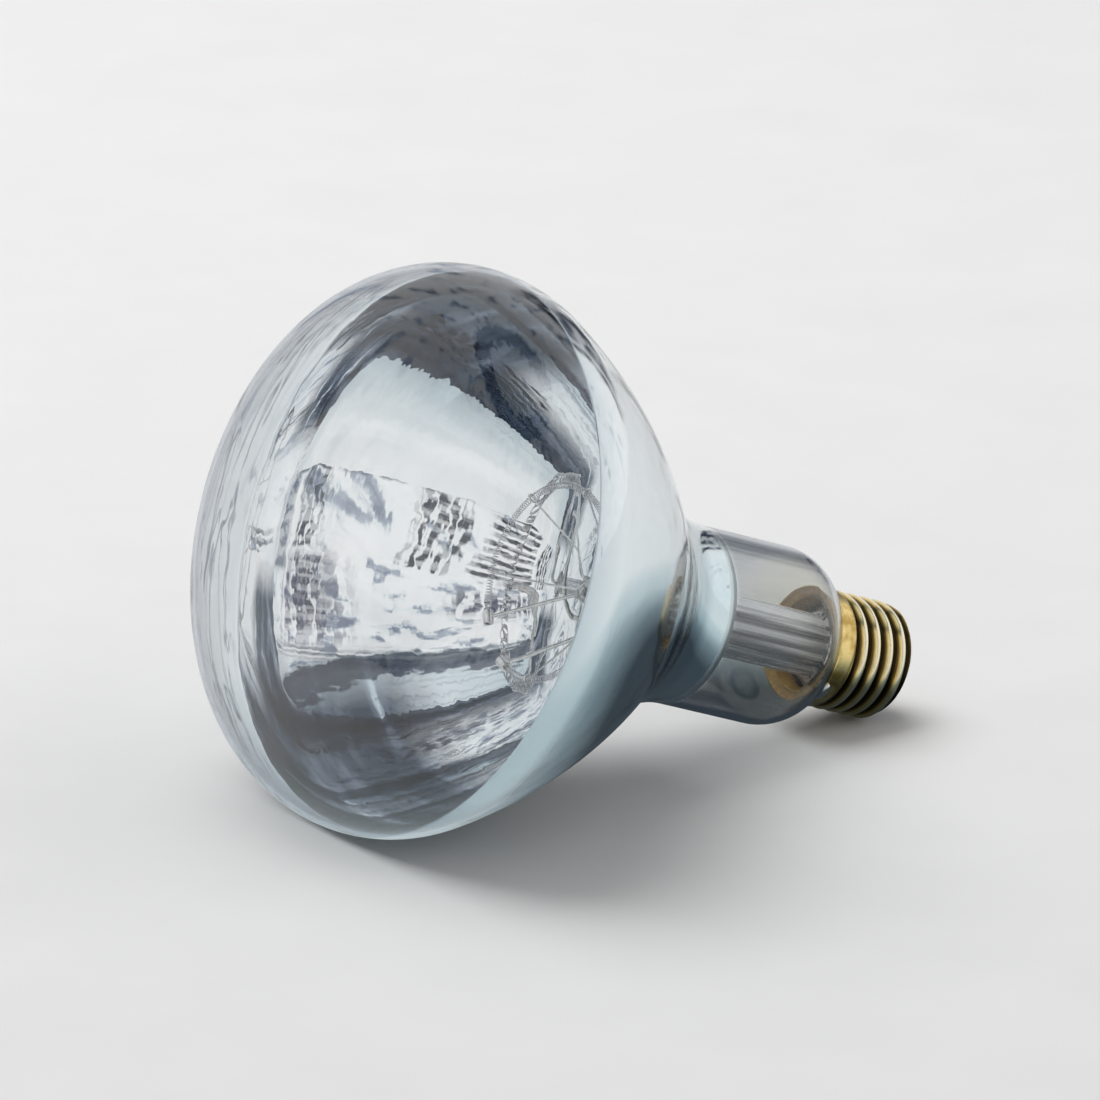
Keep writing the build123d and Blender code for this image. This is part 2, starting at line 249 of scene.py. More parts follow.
WHITE = (1.0, 1.0, 1.0)
GLASS_TINTS = (
    (0.0, (0.985, 0.99, 0.99)),
    (0.12, (0.985, 0.99, 0.99)),
    (0.17, (0.86, 0.89, 0.9)),
    (0.208, (0.84, 0.875, 0.89)),
    (0.212, (0.975, 0.985, 0.985)),
    (0.70, (0.975, 0.985, 0.985)),
    (0.706, (0.7, 0.715, 0.73)),
    (0.87, (0.78, 0.785, 0.78)),
    (0.93, (0.84, 0.81, 0.72)),
    (0.97, (0.9, 0.8, 0.58)),
)
GLASS_STREAK = (0.2, 0.23, 0.28)
# Painted shade on the glass toward its silhouettes
GLASS_EDGE_SHADE = (0.22, 0.25, 0.33)
GLASS_SHADOW = (0.93, 0.94, 0.94)
STEM_TINTS = ((0.4, (0.4, 0.4, 0.43)), (0.48, (0.93, 0.94, 0.94)), (0.6, (1.0, 1.0, 1.0)))
MIRROR_TONES = ((0.35, (0.94, 0.955, 0.965)), (0.65, (0.99, 0.99, 0.99)))
# Painted reflection: slate streaks on the mirror's rim
MIRROR_RIM_REFLECTION_TONES = (
    (0.42, (0.04, 0.06, 0.09)),
    (0.52, (0.11, 0.135, 0.18)),
    (0.62, (0.2, 0.23, 0.3)),
    (0.72, (0.75, 0.8, 0.83)),
)
BOWL_TONES = (
    (0.0, (0.7, 0.75, 0.78)),
    (0.12, (0.94, 0.96, 0.97)),
    (0.65, (0.9, 0.94, 0.95)),
    (0.86, (0.66, 0.72, 0.75)),
    (0.9, (0.92, 0.95, 0.96)),
    (0.968, (0.94, 0.96, 0.965)),
    (0.974, (1.0, 1.0, 1.0)),
)
# Painted shade: the outside of the film darker near the table
BOWL_SHADE_TONES = (
    (0.05, (0.26, 0.32, 0.37)),
    (0.12, (0.45, 0.53, 0.57)),
    (0.19, (0.88, 0.94, 0.95)),
    (0.42, (0.76, 0.86, 0.88)),
    (0.65, (0.93, 0.97, 0.98)),
    (0.8, (1.0, 1.0, 1.0)),
)
WAIST_STREAK = (0.2, 0.18, 0.17)
BRASS_TONES = ((0.35, (0.55, 0.36, 0.1)), (0.6, (0.95, 0.72, 0.3)))
# Painted shade in the thread's valleys and painted highlight on its crests
THREAD_SHADE_AND_HIGHLIGHT_TONES = (
    (0.05, (0.02, 0.014, 0.006)),
    (0.35, (0.16, 0.1, 0.025)),
    (0.62, (0.9, 0.64, 0.22)),
    (0.9, (1.0, 0.9, 0.64)),
)
# Painted shade on the brass near the table
BRASS_LOW_SHADE = (0.5, 0.45, 0.27)
WALL_TONES = (
    (0.5, (0.84, 0.85, 0.86)),
    (0.58, (0.74, 0.77, 0.79)),
    (0.62, (0.4, 0.45, 0.52)),
    (0.7, (0.2, 0.23, 0.3)),
)
CEILING_TONES = (
    (0.18, (0.5, 0.56, 0.6)),
    (0.24, (0.03, 0.04, 0.06)),
    (0.66, (0.1, 0.12, 0.16)),
    (0.72, (0.55, 0.63, 0.67)),
    (1.0, (0.7, 0.75, 0.78)),
)
GROUND_TONE = (0.8, 0.8, 0.8)
ROOM_LIGHT = (0.4, 0.4, 0.4)
BACKDROP = (0.79, 0.79, 0.79)
PAPER_TONES = ((0.3, (0.79, 0.79, 0.79)), (0.7, (0.81, 0.81, 0.81)))
# Painted shadow on the table, as mirror and glass see it
SHADE_TONES = (
    (0.25, (0.05, 0.065, 0.08)),
    (0.42, (0.2, 0.25, 0.28)),
    (0.62, (0.52, 0.6, 0.63)),
    (1.0, (0.79, 0.81, 0.82)),
)
SHADE_CENTRE = Vector((0.04, 0, 0))
SHADE_REACH = (0.165, 0.11)

# Name, place, what it points at, watts
SOFTBOXES = (
    ("softbox_back", (-0.1, 0.8, 1.75), (0, 0, 0), 27),
    ("softbox_right", (1.7, -1.4, 0.95), (0, 0, 0.05), 9),
)

PROPERTY_GROUPS = {
    "lamp_bulb": LampBulbSizes,
    "lamp_cap": LampCapSizes,
    "lamp_wire": LampWireSizes,
    "lamp_stage": LampStageSizes,
}


# The lamp's own frame: z along its axis from the crown of the face to the tip of the cap

ROLL = math.radians(-54)  # turns the side solder and the open side of the wreath to their places


def shoulder_z(bulb):
    """Where the straight neck starts to round in."""
    return bulb_centres(bulb)[3][1] + bulb.neck_length


def cap_z(scene):
    """Rim of the cap, where its bore meets the rounded end of the neck."""
    bulb, cap = scene.lamp_bulb, scene.lamp_cap
    bore = cap.skirt - cap.wall
    return shoulder_z(bulb) + math.sqrt(bulb.shoulder**2 - (bore - bulb.neck + bulb.shoulder) ** 2)


def mouth_end(scene):
    """End of the glass tube inside the cap."""
    return cap_z(scene) + scene.lamp_bulb.mouth_length


def lamp_frame(scene):
    """Matrix from the lamp's own frame to the row frame, read from the cap's mount."""
    mount = next(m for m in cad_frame["record"]["mounts"] if m["name"] == "e27_screw_cap")
    along = Vector(mount["axis"]).normalized()
    up = Vector((-along.z, 0, along.x)).normalized()
    side = along.cross(up)
    turned = Matrix((up, side, along)).transposed().to_4x4()
    place = Matrix.Translation(Vector(mount["pos_m"]) - along * cap_z(scene))
    return place @ turned @ Matrix.Rotation(ROLL, 4, "Z")


# Outlines as points (r, z)


def arc(centre, radius, start, end, steps):
    """Points on a circle, its angles measured from the r direction toward z."""
    return [
        (
            centre[0] + radius * math.cos(start + (end - start) * i / steps),
            centre[1] + radius * math.sin(start + (end - start) * i / steps),
        )
        for i in range(steps + 1)
    ]


def turn_of(centre, point):
    """Angle of a point round a centre, from the r direction toward z."""
    return math.atan2(point[1] - centre[1], point[0] - centre[0])


def bulb_centres(bulb):
    """Centres (r, z) of the outline's arcs, solved from tangency as in the CAD source."""
    face = (0.0, bulb.face)
    side_r = bulb.widest - bulb.side
    side = (side_r, bulb.face - math.sqrt((bulb.face - bulb.side) ** 2 - side_r**2))
    reach = bulb.bowl - bulb.side
    bowl = (side[0] - reach * math.cos(bulb.side_turn), side[1] - reach * math.sin(bulb.side_turn))
    waist_r = bulb.neck + bulb.waist
    drop = math.sqrt((bulb.bowl + bulb.waist) ** 2 - (waist_r - bowl[0]) ** 2)
    return face, side, bowl, (waist_r, bowl[1] + drop)


def bulb_outline(scene, inset):
    """Outline from the crown to the mouth, inset from the outside of the glass."""
    bulb = scene.lamp_bulb
    face, side, bowl, waist = bulb_centres(bulb)
    to_side = turn_of(face, side)
    to_waist = turn_of(bowl, waist)
    shoulder = (bulb.neck - bulb.shoulder, shoulder_z(bulb))
    shoulder_r = bulb.shoulder - inset
    mouth = math.acos((bulb.mouth - inset - shoulder[0]) / shoulder_r)
    points = arc(face, bulb.face - inset, -math.pi / 2, to_side, 28)
    points += arc(side, bulb.side - inset, to_side, bulb.side_turn, 24)[1:]
    points += arc(bowl, bulb.bowl - inset, bulb.side_turn, to_waist, 28)[1:]
    points += arc(waist, bulb.waist + inset, to_waist - math.pi, -math.pi, 14)[1:]
    points += arc(shoulder, shoulder_r, 0, mouth, 16)
    points.append((bulb.mouth - inset, mouth_end(scene)))
    return points


# Mesh helpers


def only(piece):
    """Makes this the one selected and active object."""
    bpy.ops.object.select_all(action="DESELECT")
    piece.select_set(True)
    bpy.context.view_layer.objects.active = piece


def lathe(name, outline):
    """Extrudes a point along a closed outline and spins the line round the lamp's axis."""
    bpy.ops.object.select_all(action="DESELECT")
    bpy.ops.mesh.primitive_plane_add(size=MM)
    piece = bpy.context.object
    piece.name = name
    bpy.ops.object.mode_set(mode="EDIT")
    bpy.ops.mesh.select_all(action="SELECT")
    bpy.ops.mesh.merge(type="CENTER")
    here = Vector((outline[0][0], 0, outline[0][1]))
    bpy.ops.transform.translate(value=here)
    for r, z in outline[1:]:
        there = Vector((r, 0, z))
        bpy.ops.mesh.extrude_region_move(TRANSFORM_OT_translate={"value": there - here})
        here = there
    bpy.ops.mesh.select_all(action="SELECT")
    bpy.ops.mesh.remove_doubles(threshold=1e-7)
    bpy.ops.mesh.select_all(action="SELECT")
    bpy.ops.mesh.spin(steps=ROUND_STEPS, angle=2 * math.pi, center=(0, 0, 0), axis=(0, 0, 1))
    bpy.ops.mesh.select_all(action="SELECT")
    bpy.ops.mesh.remove_doubles(threshold=2e-6)
    bpy.ops.mesh.normals_make_consistent(inside=False)
    bpy.ops.object.mode_set(mode="OBJECT")
    bpy.ops.object.shade_smooth()
    return piece


def lay(piece, scene, material, slot, *nodes):
    """Turns a finished mesh into the lying pose and gives it its finish and its place."""
    piece.data.transform(lamp_frame(scene))
    piece.data.materials.clear()
    piece.data.materials.append(material)
    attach(piece, "root")
    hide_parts(*nodes)


# Materials


def new_material(name):
    """An empty node material, its tree and its output."""
    material = bpy.data.materials.new(name)
    material.use_nodes = True
    nodes = material.node_tree.nodes
    nodes.clear()
    output = nodes.new("ShaderNodeOutputMaterial")
    return material, material.node_tree, output


def lamp_coordinates(tree):
    """Object coordinates turned back into the lamp's own frame, in millimetres."""
    back = lamp_frame(bpy.context.scene).inverted()
    mapping = tree.nodes.new("ShaderNodeMapping")
    mapping.inputs["Location"].default_value = [v / MM for v in back.to_translation()]
    mapping.inputs["Rotation"].default_value = back.to_euler()
    mapping.inputs["Scale"].default_value = (1 / MM,) * 3
    tree.links.new(object_place(tree), mapping.inputs["Vector"])
    return mapping.outputs["Vector"]


def add_noise(tree, vector, scale, detail=3.0, distortion=0.0, stretch=None):
    """Noise over the lamp's frame, scale in features for each millimetre."""
    if stretch:
        squeeze = tree.nodes.new("ShaderNodeVectorMath")
        squeeze.operation = "MULTIPLY"
        squeeze.inputs[1].default_value = stretch
        tree.links.new(vector, squeeze.inputs[0])
        vector = squeeze.outputs[0]
    node = tree.nodes.new("ShaderNodeTexNoise")
    node.inputs["Scale"].default_value = scale
    node.inputs["Detail"].default_value = detail
    node.inputs["Distortion"].default_value = distortion
    tree.links.new(vector, node.inputs["Vector"])
    return node.outputs["Fac"]


def ramp(tree, value, *stops):
    """Colour ramp from (place, colour) pairs."""
    node = tree.nodes.new("ShaderNodeValToRGB")
    elements = node.color_ramp.elements
    while len(elements) < len(stops):
        elements.new(0.5)
    for element, (place, colour) in zip(elements, stops):
        element.position = place
        element.color = (*colour, 1)
    tree.links.new(value, node.inputs["Fac"])
    return node.outputs["Color"]


def remap(tree, value, low, high, low_in=0.0, high_in=1.0, smooth=False):
    """Spreads the range from low_in to high_in over low to high."""
    node = tree.nodes.new("ShaderNodeMapRange")
    if smooth:
        node.interpolation_type = "SMOOTHSTEP"
    node.inputs["From Min"].default_value = low_in
    node.inputs["From Max"].default_value = high_in
    node.inputs["To Min"].default_value = low
    node.inputs["To Max"].default_value = high
    tree.links.new(value, node.inputs["Value"])
    return node.outputs["Result"]


def math_node(tree, operation, *values):
    """A Math node on sockets or numbers."""
    node = tree.nodes.new("ShaderNodeMath")
    node.operation = operation
    for socket, value in zip(node.inputs, values):
        if isinstance(value, (int, float)):
            socket.default_value = value
        else:
            tree.links.new(value, socket)
    return node.outputs[0]


def aim(azimuth, elevation):
    """Unit vector toward a place in the studio, azimuth from +X toward +Y."""
    a, e = math.radians(azimuth), math.radians(elevation)
    return Vector((math.cos(e) * math.cos(a), math.cos(e) * math.sin(a), math.sin(e)))


def dot(tree, vector, constant):
    """Dot product of a vector socket and a constant."""
    node = tree.nodes.new("ShaderNodeVectorMath")
    node.operation = "DOT_PRODUCT"
    node.inputs[1].default_value = constant
    tree.links.new(vector, node.inputs[0])
    return node.outputs["Value"]


def patch(tree, look, ragged, azimuth, elevation, width, height, lean, soft, across, along):
    """Mask of a leaning soft-edged rectangle in the studio, its sizes and stripes in degrees."""
    centre = aim(azimuth, elevation)
    turn = Matrix.Rotation(math.radians(lean), 3, centre)
    right = turn @ Vector((-centre.y, centre.x, 0)).normalized()
    up = centre.cross(right)
    ahead = dot(tree, look, centre)
    mask = remap(tree, ahead, 0, 1, 0.0, 0.05)
    for axis, size, stripe in ((right, width, across), (up, height, along)):
        slope = math_node(tree, "DIVIDE", dot(tree, look, axis), math_node(tree, "MAXIMUM", ahead, 0.02))
        slope = math_node(tree, "ADD", slope, ragged)
        edge = math.tan(math.radians(size / 2))
        blur = math.tan(math.radians(soft))
        inside = remap(tree, math_node(tree, "ABSOLUTE", slope), 1, 0, edge - blur, edge + blur)
        mask = math_node(tree, "MULTIPLY", mask, inside)
        if stripe:
            wave = math_node(tree, "MULTIPLY", slope, math.tau / math.radians(stripe))
            wave = math_node(tree, "SINE", wave)
            mask = math_node(tree, "MULTIPLY", mask, remap(tree, wave, 0.05, 1, -0.7, 0.1))
    return mask


def blend(tree, mask, under, over):
    """Lays a colour over another where the mask is one; each is a socket or a tone."""
    node = tree.nodes.new("ShaderNodeMix")
    node.data_type = "RGBA"
    tree.links.new(mask, node.inputs["Factor"])
    for name, colour in (("A", under), ("B", over)):
        if isinstance(colour, tuple):
            node.inputs[name].default_value = (*colour, 1)
        else:
            tree.links.new(colour, node.inputs[name])
    return node.outputs["Result"]


def multiply(tree, first, second):
    """Product of two colour sockets."""
    node = tree.nodes.new("ShaderNodeMix")
    node.data_type = "RGBA"
    node.blend_type = "MULTIPLY"
    node.inputs["Factor"].default_value = 1.0
    tree.links.new(first, node.inputs["A"])
    tree.links.new(second, node.inputs["B"])
    return node.outputs["Result"]


def mix_shaders(tree, mask, under, over):
    """Lays a shader over another where the mask is one."""
    node = tree.nodes.new("ShaderNodeMixShader")
    for socket, value in zip(node.inputs, (mask, under, over)):
        tree.links.new(value, socket)
    return node.outputs[0]


def principled(tree, **inputs):
    """A Principled shader, each input a socket to link or a constant for the shader's own socket."""
    shader = tree.nodes.new("ShaderNodeBsdfPrincipled")
    for name, value in inputs.items():
        socket = shader.inputs[name.replace("_", " ")]
        if isinstance(value, bpy.types.NodeSocket):
            tree.links.new(value, socket)
        else:
            socket.default_value = value
    return shader.outputs[0]


def mirrored_rays(tree):
    """Mask that is one for what the mirror, the metal and the glass show."""
    path = tree.nodes.new("ShaderNodeLightPath")
    return math_node(tree, "MAXIMUM", path.outputs["Is Glossy Ray"], path.outputs["Is Transmission Ray"])


def object_place(tree):
    """Object coordinates: the row frame, in metres."""
    return tree.nodes.new("ShaderNodeTexCoord").outputs["Object"]


def part(tree, vector, axis):
    """One coordinate of a vector."""
    parts = tree.nodes.new("ShaderNodeSeparateXYZ")
    tree.links.new(vector, parts.inputs[0])
    return parts.outputs[axis]


def from_axis(tree, vector):
    """Distance from the lamp's axis, in millimetres."""
    flat = tree.nodes.new("ShaderNodeVectorMath")
    flat.operation = "MULTIPLY"
    flat.inputs[1].default_value = (1, 1, 0)
    tree.links.new(vector, flat.inputs[0])
    length = tree.nodes.new("ShaderNodeVectorMath")
    length.operation = "LENGTH"
    tree.links.new(flat.outputs[0], length.inputs[0])
    return length.outputs["Value"]


def between(tree, value, low, high, soft):
    """Mask that is one from low to high, with soft edges inside."""
    rise = remap(tree, value, 0, 1, low, low + soft)
    fall = remap(tree, value, 1, 0, high - soft, high)
    return math_node(tree, "MULTIPLY", rise, fall)


def lines_of(tree, noise_value, width):
    """Thin wandering lines where a noise crosses its middle."""
    off = math_node(tree, "ABSOLUTE", math_node(tree, "SUBTRACT", noise_value, 0.5))
    return remap(tree, off, 1, 0, width / 3, width, smooth=True)


def heights(tree, *layers):
    """Sum of (noise, millimetres) layers as one normal."""
    total = None
    for noise_value, size in layers:
        layer = math_node(tree, "MULTIPLY", noise_value, size)
        total = layer if total is None else math_node(tree, "ADD", total, layer)
    return add_bump(tree, total, 1.0, MM)


def add_bump(tree, height, strength, distance):
    """Normal of a surface raised by a height socket."""
    node = tree.nodes.new("ShaderNodeBump")
    node.inputs["Strength"].default_value = strength
    node.inputs["Distance"].default_value = distance
    tree.links.new(height, node.inputs["Height"])
    return node.outputs["Normal"]


def let_light_through(tree, shader, output):
    """Shadow rays pass, so that the lamps light what stands behind and inside the glass."""
    path = tree.nodes.new("ShaderNodeLightPath")
    clear = tree.nodes.new("ShaderNodeBsdfTransparent")
    clear.inputs["Color"].default_value = (*GLASS_SHADOW, 1)
    shown = mix_shaders(tree, path.outputs["Is Shadow Ray"], shader, clear.outputs[0])
    tree.links.new(shown, output.inputs["Surface"])


def clear_shader(tree, tint, normal):
    """Sharp refracting glass."""
    return principled(tree, Transmission_Weight=1.0, IOR=1.5, Roughness=0.0, Base_Color=tint, Normal=normal)


def bulb_material():
    """Blown glass: drawn streaks round the clear side, a smoky neck, amber over the cement, and painted shade
    darkening it toward its silhouettes.
    """
    material, tree, output = new_material("clear_glass")
    vector = lamp_coordinates(tree)
    along = part(tree, vector, "Z")
    tint = ramp(tree, remap(tree, along, 0, 1, 0, GLASS_LENGTH), *GLASS_TINTS)

    drawn = add_noise(tree, vector, 1.0, detail=2.0, distortion=0.4, stretch=(0.03, 0.03, 0.4))
    one_side = remap(tree, part(tree, object_place(tree), "Y"), 0, 1, 10 * MM, 30 * MM)
    clear_side = math_node(tree, "MULTIPLY", between(tree, along, *CLEAR_SIDE, 3), one_side)
    streaks = math_node(tree, "MULTIPLY", lines_of(tree, drawn, 0.03), clear_side)
    tint = blend(tree, streaks, tint, GLASS_STREAK)

    # Painted shade: the tint darkens toward the silhouettes of the unsilvered glass, a dark outline put into
    # its colour
    edge = tree.nodes.new("ShaderNodeLayerWeight")
    edge.inputs["Blend"].default_value = 0.5
    outline = remap(tree, edge.outputs["Facing"], 0, 0.95, 0.45, 0.9)
    unsilvered = math_node(tree, "SUBTRACT", 1, between(tree, along, SILVER_START, NECK_START, 0.5))
    outline = math_node(tree, "MULTIPLY", outline, unsilvered)
    tint = multiply(tree, tint, blend(tree, outline, WHITE, GLASS_EDGE_SHADE))

    waves = add_noise(tree, vector, 0.06, detail=2.0, stretch=(1, 1, 0.5))
    let_light_through(tree, clear_shader(tree, tint, heights(tree, (waves, 0.12))), output)
    return material


def stem_material():
    """Drawn tube glass with clear and dark streaks along it, and painted highlights: opaque white streaks."""
    material, tree, output = new_material("stem_glass")
    vector = lamp_coordinates(tree)
    drawn = add_noise(tree, vector, 0.6, detail=2.0, stretch=(1, 1, 0.02))
    fine = add_noise(tree, vector, 1.6, detail=2.0, stretch=(1, 1, 0.01))
    normal = heights(tree, (drawn, 0.6), (fine, 0.1))
    clear = clear_shader(tree, ramp(tree, drawn, *STEM_TINTS), normal)
    # Painted highlight: opaque white streaks that stand for the tube's glints
    painted_highlight = principled(tree, Base_Color=(0.97, 0.97, 0.97, 1), Roughness=0.3)
    streaked = mix_shaders(tree, remap(tree, drawn, 0, 0.85, 0.45, 0.53), clear, painted_highlight)
    let_light_through(tree, streaked, output)
    return material


def mirror_material(silver_end):
    """Evaporated metal on blown glass: sharp inside with painted reflection streaks at its rim, teal and
    satin at its edge from outside, with painted shade near the table.
    """
    material, tree, output = new_material("silvering")
    vector = lamp_coordinates(tree)
    place = object_place(tree)
    along = part(tree, vector, "Z")
    end = silver_end / MM
    normal = heights(
        tree,
        (add_noise(tree, vector, 0.05, detail=1.0, stretch=(1, 1, 0.4)), 0.12),
        (add_noise(tree, vector, 0.3, detail=2.0, stretch=(0.4, 0.4, 1)), 0.035),
    )

    # Inside: painted reflection, slate streaks of the dark room round the rim, on its upper and lower side
    inner = ramp(tree, add_noise(tree, vector, 0.08, detail=1.0), *MIRROR_TONES)
    sideways = math_node(tree, "DIVIDE", math_node(tree, "ABSOLUTE", part(tree, place, "Y")), MM)
    sideways = math_node(tree, "DIVIDE", sideways, from_axis(tree, vector))
    reflecting_sides = remap(tree, sideways, 1, 0, 0.62, 0.86)
    rim = math_node(tree, "MULTIPLY", remap(tree, along, 1, 0, *RIM_FADE), reflecting_sides)
    drawn = add_noise(tree, vector, 1.0, detail=3.0, distortion=0.3, stretch=(0.03, 0.03, 0.22))
    inner = blend(tree, rim, inner, ramp(tree, drawn, *MIRROR_RIM_REFLECTION_TONES))

    # Outside: tones along the lamp, painted shade making it darker near the table, brown streaks at the waist
    outer = ramp(tree, remap(tree, along, 0, 1, SILVER_START, end), *BOWL_TONES)
    low = ramp(tree, remap(tree, part(tree, place, "Z"), 0, 1, 0, 0.1), *BOWL_SHADE_TONES)
    outer = multiply(tree, outer, low)
    waist = add_noise(tree, vector, 1.0, detail=3.0, distortion=0.5, stretch=(0.05, 0.05, 0.5))
    lines = math_node(tree, "MULTIPLY", lines_of(tree, waist, 0.06), between(tree, along, *WAIST, 2))
    outer = blend(tree, lines, outer, WAIST_STREAK)
    satin = remap(tree, along, 0.05, 0.4, end - 2.1, end - 1.8)

    outside = tree.nodes.new("ShaderNodeAttribute")
    outside.attribute_name = "outside"
    shown = mix_shaders(
        tree,
        outside.outputs["Fac"],
        principled(tree, Metallic=1.0, Roughness=0.0, Base_Color=inner, Normal=normal),
        principled(tree, Metallic=1.0, Roughness=satin, Base_Color=outer, Normal=normal),
    )
    tree.links.new(shown, output.inputs["Surface"])
    return material


def brass_material(name, scene, threaded):
    """Rolled brass: painted highlight on the thread's crests, painted shade in its valleys and painted shade
    turning it olive near the table.
    """
    material, tree, output = new_material(name)
    vector = lamp_coordinates(tree)
    cap = scene.lamp_cap
    patina = add_noise(tree, vector, 0.35, detail=4.0)
    colour = ramp(tree, patina, *BRASS_TONES)
    if threaded:
        # Painted shade in the valleys of the thread and painted highlight on its crests
        depth = remap(tree, from_axis(tree, vector), 0, 1, cap.root / MM, cap.crest / MM)
        skirt_end = (cap_z(scene) + cap.skirt_length) / MM
        behind = remap(tree, part(tree, vector, "Z"), 0, 1, skirt_end - 0.2, skirt_end + 0.1)
        colour = blend(tree, behind, colour, ramp(tree, depth, *THREAD_SHADE_AND_HIGHLIGHT_TONES))
    # Painted shade: darker olive on the side near the table, its edge made uneven by the patina noise
    uneven = math_node(tree, "MULTIPLY", patina, 6 * MM)
    height = math_node(tree, "ADD", part(tree, object_place(tree), "Z"), uneven)
    low = remap(tree, height, 1, 0, 4 * MM, 18 * MM)
    colour = multiply(tree, colour, blend(tree, low, WHITE, BRASS_LOW_SHADE))
    scratches = add_noise(tree, vector, 2.5, detail=2.0, stretch=(0.3, 0.3, 1))
    shader = principled(
        tree,
        Metallic=1.0,
        Base_Color=colour,
        Roughness=remap(tree, patina, 0.12, 0.3),
        Normal=heights(tree, (patina, 0.02), (scratches, 0.004)),
    )
    tree.links.new(shader, output.inputs["Surface"])
    return material


def metal_material(name, dark, light, roughness, scale=0.8, bump=0.05, metallic=1.0):
    """Metal or dull solid with mottled colour and fine handling marks."""
    material, tree, output = new_material(name)
    mottle = add_noise(tree, lamp_coordinates(tree), scale, detail=6.0)
    shader = principled(
        tree,
        Metallic=metallic,
        Base_Color=ramp(tree, mottle, (0.3, dark), (0.7, light)),
        Roughness=remap(tree, mottle, *roughness),
        Normal=add_bump(tree, mottle, bump, 0.2 * MM),
    )
    tree.links.new(shader, output.inputs["Surface"])
    return material


def finish_nodes(material, *names):
    """Gives the CAD nodes that stay a finish."""
    for name in names:
        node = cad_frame["nodes"][name]
        node.data.materials.clear()
        node.data.materials.append(material)


# Operators


class LampBulb(bpy.types.Operator):
    """Blow the clear glass bulb and coat its bowl"""

    bl_idname = "lamp.bulb"
    bl_label = "Bulb"

    def execute(self, context):
        scene = context.scene
        bulb = scene.lamp_bulb
        outside = bulb_outline(scene, 0)
        inside = bulb_outline(scene, bulb.glass)
        glass = lathe("bulb_glass", outside + inside[::-1])
        lay(glass, scene, bulb_material(), "clear_glass", "glass_bulb")

        _, side, _, waist = bulb_centres(bulb)
        silver_end = waist[1] - bulb.silver_short
        outer = coated(bulb_outline(scene, bulb.glass + FILM_LIFT), side[1], silver_end)
        inner = coated(bulb_outline(scene, bulb.glass + bulb.silver), side[1], silver_end)
        film = lathe("mirror_film", outer + inner[::-1] + outer[:1])
        mark_outside(film, outer)
        lay(film, scene, mirror_material(silver_end), "silvering", "mirror_coating")
        return {"FINISHED"}


def coated(outline, start, end):
    """The stretch of an outline between two heights, cut exactly there."""
    points = []
    for (r0, z0), (r1, z1) in zip(outline, outline[1:]):
        for cut in (start, end):
            if z0 < cut < z1:
                points.append((r0 + (r1 - r0) * (cut - z0) / (z1 - z0), cut))
        if start < z1 < end:
            points.append((r1, z1))
    return sorted(points, key=lambda p: p[1])


def mark_outside(film, outer):
    """Attribute that is one where the film faces the glass and zero where it faces the inside."""
    mark = film.data.attributes.new("outside", "FLOAT", "POINT")
    for vertex in film.data.vertices:
        r, z = vertex.co.xy.length, vertex.co.z
        near = min(outer, key=lambda p: abs(p[0] - r) + abs(p[1] - z))
        mark.data[vertex.index].value = float(abs(near[0] - r) + abs(near[1] - z) < 0.02 * MM)


class LampFilament(bpy.types.Operator):
    """Wind the coiled filament and finish the wires and glass that hold it"""

    bl_idname = "lamp.filament"
    bl_label = "Filament"

    def execute(self, context):
        scene = context.scene
        wire = scene.lamp_wire
        start = -math.pi / 2 + wire.gap / 2
        span = 2 * math.pi - wire.gap
        steps = COIL_POINTS * wire.turns
        coil = wire.coil - wire.wire
        height = mouth_end(scene) - wire.wreath_z
        bpy.ops.object.select_all(action="DESELECT")
        curve = bpy.data.curves.new("filament_coil", "CURVE")
        curve.dimensions = "3D"
        curve.bevel_depth = wire.wire
        curve.bevel_resolution = 1
        spline = curve.splines.new("POLY")
        spline.points.add(steps)
        for i, point in enumerate(spline.points):
            around = start + span * i / steps
            twist = 2 * math.pi * wire.turns * i / steps
            r = wire.wreath + coil * math.cos(twist)
            z = height + coil * math.sin(twist)
            point.co = (r * math.cos(around), r * math.sin(around), z, 1)
        piece = bpy.data.objects.new("filament_coil", curve)
        scene.collection.objects.link(piece)
        only(piece)
        bpy.ops.object.convert(target="MESH")
        piece = context.object
        bpy.ops.object.shade_smooth()
        tungsten = metal_material("tungsten", (0.6, 0.6, 0.62), (0.85, 0.85, 0.87), (0.2, 0.35))
        lay(piece, scene, tungsten, "tungsten", "filament")
        nickel = metal_material("nickel_wire", (0.66, 0.65, 0.62), (0.88, 0.87, 0.85), (0.15, 0.3))
        wires = [f"filament_support_{n}" for n in range(1, 7)]
        finish_nodes(nickel, "lead_1", "lead_2", "lead_to_tip", "lead_to_skirt", *wires)
        finish_nodes(stem_material(), "stem", "exhaust_tube", "support_rod")
        return {"FINISHED"}


